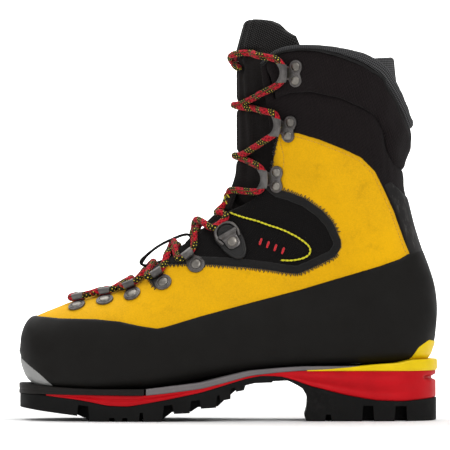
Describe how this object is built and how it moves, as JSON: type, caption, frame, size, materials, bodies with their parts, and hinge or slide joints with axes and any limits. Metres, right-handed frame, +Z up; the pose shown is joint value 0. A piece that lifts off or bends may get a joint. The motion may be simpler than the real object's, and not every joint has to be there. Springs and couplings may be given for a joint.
{
  "type": "mountaineering boot",
  "caption": "Left high-cut mountaineering boot with a rubber rand, a layered crampon-ready sole, a padded hinged shaft, a tongue and a lace run through loops, locks and hooks.",
  "frame": {"origin": "on the ground, under the middle of the boot's length and width", "axes": "+Z up, the toe points to -X, the heel to +X, the outer side of this left boot faces -Y"},
  "size_m": [0.3098, 0.1078, 0.2989],
  "materials": {
    "black_rubber": "matte",
    "rand_rubber": "smooth matte",
    "red_midsole": "satin",
    "grey_band": "matte",
    "yellow_plastic": "satin",
    "light_grey_insert": "satin",
    "yellow_leather": "fine nap",
    "black_fabric": "woven",
    "grey_knit": "ribbed knit",
    "lining": "brushed",
    "board": "matte",
    "gunmetal": "dark satin",
    "black_plastic": "matte",
    "lace_red": "braided",
    "black_cord": "braided"
  },
  "bodies": {
    "foot": {"outsole": "black_rubber", "midsole": "red_midsole", "midsole_band": "grey_band", "toe_welt": "black_rubber", "heel_welt": "yellow_plastic", "toe_insert": "light_grey_insert", "heel_insert": "yellow_plastic", "rand": "rand_rubber", "lasting_board": "board", "shank_plate": "gunmetal", "toe_puff": "board", "heel_counter": "board", "leather_vamp": "yellow_leather", "lining_foot": "lining", "tongue_lower": "black_fabric", "lace_keeper": "black_fabric", "lace": "lace_red", "ankle_gusset": "black_fabric", "flex_panel_left": "black_fabric", "lock_base_left": "black_plastic", "lock_strap_left": "gunmetal", "lock_rivet_left": "gunmetal", "loop_rivets_left": "gunmetal", "lace_loop_left_1": "gunmetal", "lace_loop_left_2": "gunmetal", "lace_loop_left_3": "gunmetal", "lace_loop_left_4": "gunmetal", "lace_loop_left_5": "gunmetal", "flex_panel_right": "black_fabric", "lock_base_right": "black_plastic", "lock_strap_right": "gunmetal", "lock_rivet_right": "gunmetal", "loop_rivets_right": "gunmetal", "lace_loop_right_1": "gunmetal", "lace_loop_right_2": "gunmetal", "lace_loop_right_3": "gunmetal", "lace_loop_right_4": "gunmetal", "lace_loop_right_5": "gunmetal"},
    "shaft": {"ankle_cuff": "black_fabric", "collar": "black_fabric", "collar_binding": "grey_knit", "lining_shaft": "lining", "leather_quarter_left": "yellow_leather", "eyestay_left": "black_fabric", "hook_rivets_left": "gunmetal", "leather_quarter_right": "yellow_leather", "eyestay_right": "black_fabric", "hook_rivets_right": "gunmetal", "lace_hook_left_1": "gunmetal", "lace_hook_left_2": "gunmetal", "lace_hook_left_3": "gunmetal", "lace_hook_right_1": "gunmetal", "lace_hook_right_2": "gunmetal", "lace_hook_right_3": "gunmetal"},
    "tongue": {"tongue_upper": "black_fabric"},
    "heel_tab": {"heel_pull_tab": "grey_knit"},
    "instep_cord": {"instep_loop": "black_cord"},
    "footbed": {"footbed": "grey_knit"},
    "lock_jaw_left": {"lock_jaw_left": "black_plastic"},
    "lock_jaw_right": {"lock_jaw_right": "black_plastic"}
  },
  "joints": [
    {"name": "ankle_flex", "type": "hinge", "parent": "foot", "child": "shaft", "pos_m": [0.0803, 0, 0.1289], "axis": [0, -1, 0], "range_deg": [-2.5, 8], "deforming": ["flex_panel_left", "flex_panel_right", "ankle_gusset", "tongue_lower", "lace"]},
    {"name": "tongue_swing", "type": "hinge", "parent": "shaft", "child": "tongue", "pos_m": [0.02, 0, 0.125], "axis": [0, 1, 0], "range_deg": [0, 6], "deforming": ["tongue_lower", "lace"]},
    {"name": "heel_tab_fold", "type": "hinge", "parent": "shaft", "child": "heel_tab", "pos_m": [0.118, 0, 0.223], "axis": [0, -1, 0], "range_deg": [0, 35]},
    {"name": "instep_loop_swing", "type": "hinge", "parent": "foot", "child": "instep_cord", "pos_m": [-0.03, 0, 0.143], "axis": [0, 1, 0], "range_deg": [0, 30]},
    {"name": "footbed_lift", "type": "hinge", "parent": "foot", "child": "footbed", "pos_m": [-0.128, 0, 0.034], "axis": [0, -1, 0], "range_deg": [0, 4]},
    {"name": "lock_jaw_left_lift", "type": "hinge", "parent": "foot", "child": "lock_jaw_left", "pos_m": [-0.00165, -0.02787, 0.13864], "axis": [0.8518, 0.1236, 0.5091], "range_deg": [0, 30]},
    {"name": "lock_jaw_right_lift", "type": "hinge", "parent": "foot", "child": "lock_jaw_right", "pos_m": [-0.00208, 0.02528, 0.13836], "axis": [-0.8385, 0.0253, -0.5444], "range_deg": [0, 30]}
  ]
}
